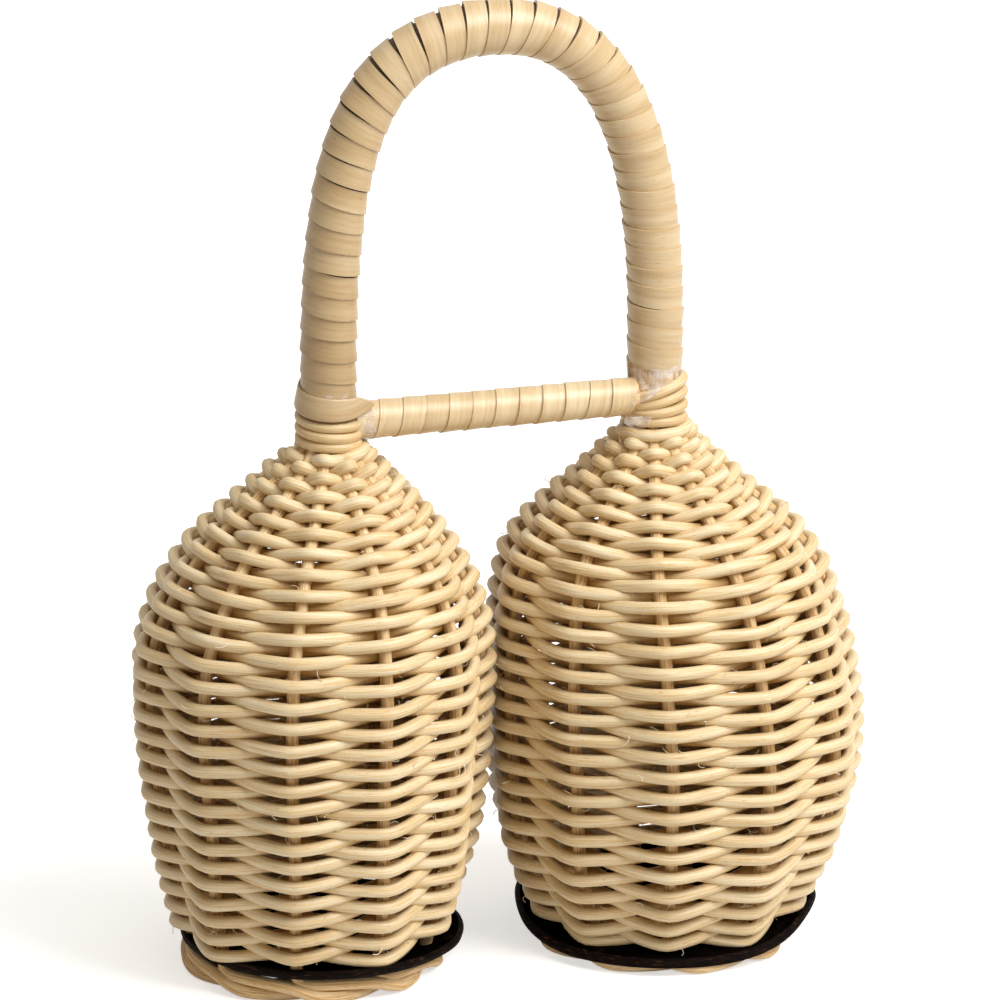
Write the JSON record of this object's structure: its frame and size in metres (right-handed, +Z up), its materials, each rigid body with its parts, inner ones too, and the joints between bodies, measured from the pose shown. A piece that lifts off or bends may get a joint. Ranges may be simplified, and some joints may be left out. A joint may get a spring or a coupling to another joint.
{
  "type": "double caxixi",
  "caption": "Woven cane shakers with gourd bases and loose seeds, joined at their necks by a strip-wrapped arch handle and a crossbar.",
  "frame": {"origin": "on the floor plane, under the middle of the box that holds the whole instrument", "axes": "+Z up towards the handle, +X from the slimmer basket to the wider one, -Y towards the front"},
  "size_m": [0.1804, 0.0903, 0.2368],
  "materials": {
    "weaver_cane": "pale round reed, matt with a slight sheen",
    "stake_cane": "round reed, fibrous and matt",
    "strip_cane": "flat peeled cane, satin",
    "pole_cane": "bare cane pole, matt",
    "gourd": "dark calabash shell, satin",
    "seed": "hard dry seed, smooth",
    "clear_tape": "clear film, glossy"
  },
  "bodies": {
    "instrument": {"left_gourd_base": "gourd", "left_stake_01": "stake_cane", "left_stake_02": "stake_cane", "left_stake_03": "stake_cane", "left_stake_04": "stake_cane", "left_stake_05": "stake_cane", "left_stake_06": "stake_cane", "left_stake_07": "stake_cane", "left_stake_08": "stake_cane", "left_stake_09": "stake_cane", "left_stake_10": "stake_cane", "left_stake_11": "stake_cane", "left_woven_wall": "weaver_cane", "left_neck_binding": "weaver_cane", "left_clear_tape": "clear_tape", "right_gourd_base": "gourd", "right_stake_01": "stake_cane", "right_stake_02": "stake_cane", "right_stake_03": "stake_cane", "right_stake_04": "stake_cane", "right_stake_05": "stake_cane", "right_stake_06": "stake_cane", "right_stake_07": "stake_cane", "right_stake_08": "stake_cane", "right_stake_09": "stake_cane", "right_stake_10": "stake_cane", "right_stake_11": "stake_cane", "right_woven_wall": "weaver_cane", "right_neck_binding": "weaver_cane", "right_clear_tape": "clear_tape", "handle_core": "pole_cane", "handle_wrap": "strip_cane", "crossbar_core": "pole_cane", "crossbar_wrap": "strip_cane"},
    "left_seed_01": {"left_seed_01": "seed"},
    "left_seed_02": {"left_seed_02": "seed"},
    "left_seed_03": {"left_seed_03": "seed"},
    "left_seed_04": {"left_seed_04": "seed"},
    "left_seed_05": {"left_seed_05": "seed"},
    "left_seed_06": {"left_seed_06": "seed"},
    "left_seed_07": {"left_seed_07": "seed"},
    "left_seed_08": {"left_seed_08": "seed"},
    "left_seed_09": {"left_seed_09": "seed"},
    "left_seed_10": {"left_seed_10": "seed"},
    "left_seed_11": {"left_seed_11": "seed"},
    "right_seed_01": {"right_seed_01": "seed"},
    "right_seed_02": {"right_seed_02": "seed"},
    "right_seed_03": {"right_seed_03": "seed"},
    "right_seed_04": {"right_seed_04": "seed"},
    "right_seed_05": {"right_seed_05": "seed"},
    "right_seed_06": {"right_seed_06": "seed"},
    "right_seed_07": {"right_seed_07": "seed"},
    "right_seed_08": {"right_seed_08": "seed"},
    "right_seed_09": {"right_seed_09": "seed"},
    "right_seed_10": {"right_seed_10": "seed"},
    "right_seed_11": {"right_seed_11": "seed"}
  },
  "joints": [
    {"name": "left_seed_01_throw", "type": "slide", "parent": "instrument", "child": "left_seed_01", "axis": [0, 0, 1], "range_m": [0, 0.103]},
    {"name": "left_seed_02_throw", "type": "slide", "parent": "instrument", "child": "left_seed_02", "axis": [0, 0, 1], "range_m": [0, 0.097]},
    {"name": "left_seed_03_throw", "type": "slide", "parent": "instrument", "child": "left_seed_03", "axis": [0, 0, 1], "range_m": [0, 0.096]},
    {"name": "left_seed_04_throw", "type": "slide", "parent": "instrument", "child": "left_seed_04", "axis": [0, 0, 1], "range_m": [0, 0.096]},
    {"name": "left_seed_05_throw", "type": "slide", "parent": "instrument", "child": "left_seed_05", "axis": [0, 0, 1], "range_m": [0, 0.092]},
    {"name": "left_seed_06_throw", "type": "slide", "parent": "instrument", "child": "left_seed_06", "axis": [0, 0, 1], "range_m": [0, 0.093]},
    {"name": "left_seed_07_throw", "type": "slide", "parent": "instrument", "child": "left_seed_07", "axis": [0, 0, 1], "range_m": [0, 0.09]},
    {"name": "left_seed_08_throw", "type": "slide", "parent": "instrument", "child": "left_seed_08", "axis": [0, 0, 1], "range_m": [0, 0.089]},
    {"name": "left_seed_09_throw", "type": "slide", "parent": "instrument", "child": "left_seed_09", "axis": [0, 0, 1], "range_m": [0, 0.09]},
    {"name": "left_seed_10_throw", "type": "slide", "parent": "instrument", "child": "left_seed_10", "axis": [0, 0, 1], "range_m": [0, 0.086]},
    {"name": "left_seed_11_throw", "type": "slide", "parent": "instrument", "child": "left_seed_11", "axis": [0, 0, 1], "range_m": [0, 0.087]},
    {"name": "right_seed_01_throw", "type": "slide", "parent": "instrument", "child": "right_seed_01", "axis": [0, 0, 1], "range_m": [0, 0.097]},
    {"name": "right_seed_02_throw", "type": "slide", "parent": "instrument", "child": "right_seed_02", "axis": [0, 0, 1], "range_m": [0, 0.098]},
    {"name": "right_seed_03_throw", "type": "slide", "parent": "instrument", "child": "right_seed_03", "axis": [0, 0, 1], "range_m": [0, 0.093]},
    {"name": "right_seed_04_throw", "type": "slide", "parent": "instrument", "child": "right_seed_04", "axis": [0, 0, 1], "range_m": [0, 0.091]},
    {"name": "right_seed_05_throw", "type": "slide", "parent": "instrument", "child": "right_seed_05", "axis": [0, 0, 1], "range_m": [0, 0.092]},
    {"name": "right_seed_06_throw", "type": "slide", "parent": "instrument", "child": "right_seed_06", "axis": [0, 0, 1], "range_m": [0, 0.088]},
    {"name": "right_seed_07_throw", "type": "slide", "parent": "instrument", "child": "right_seed_07", "axis": [0, 0, 1], "range_m": [0, 0.088]},
    {"name": "right_seed_08_throw", "type": "slide", "parent": "instrument", "child": "right_seed_08", "axis": [0, 0, 1], "range_m": [0, 0.088]},
    {"name": "right_seed_09_throw", "type": "slide", "parent": "instrument", "child": "right_seed_09", "axis": [0, 0, 1], "range_m": [0, 0.085]},
    {"name": "right_seed_10_throw", "type": "slide", "parent": "instrument", "child": "right_seed_10", "axis": [0, 0, 1], "range_m": [0, 0.086]},
    {"name": "right_seed_11_throw", "type": "slide", "parent": "instrument", "child": "right_seed_11", "axis": [0, 0, 1], "range_m": [0, 0.083]}
  ]
}
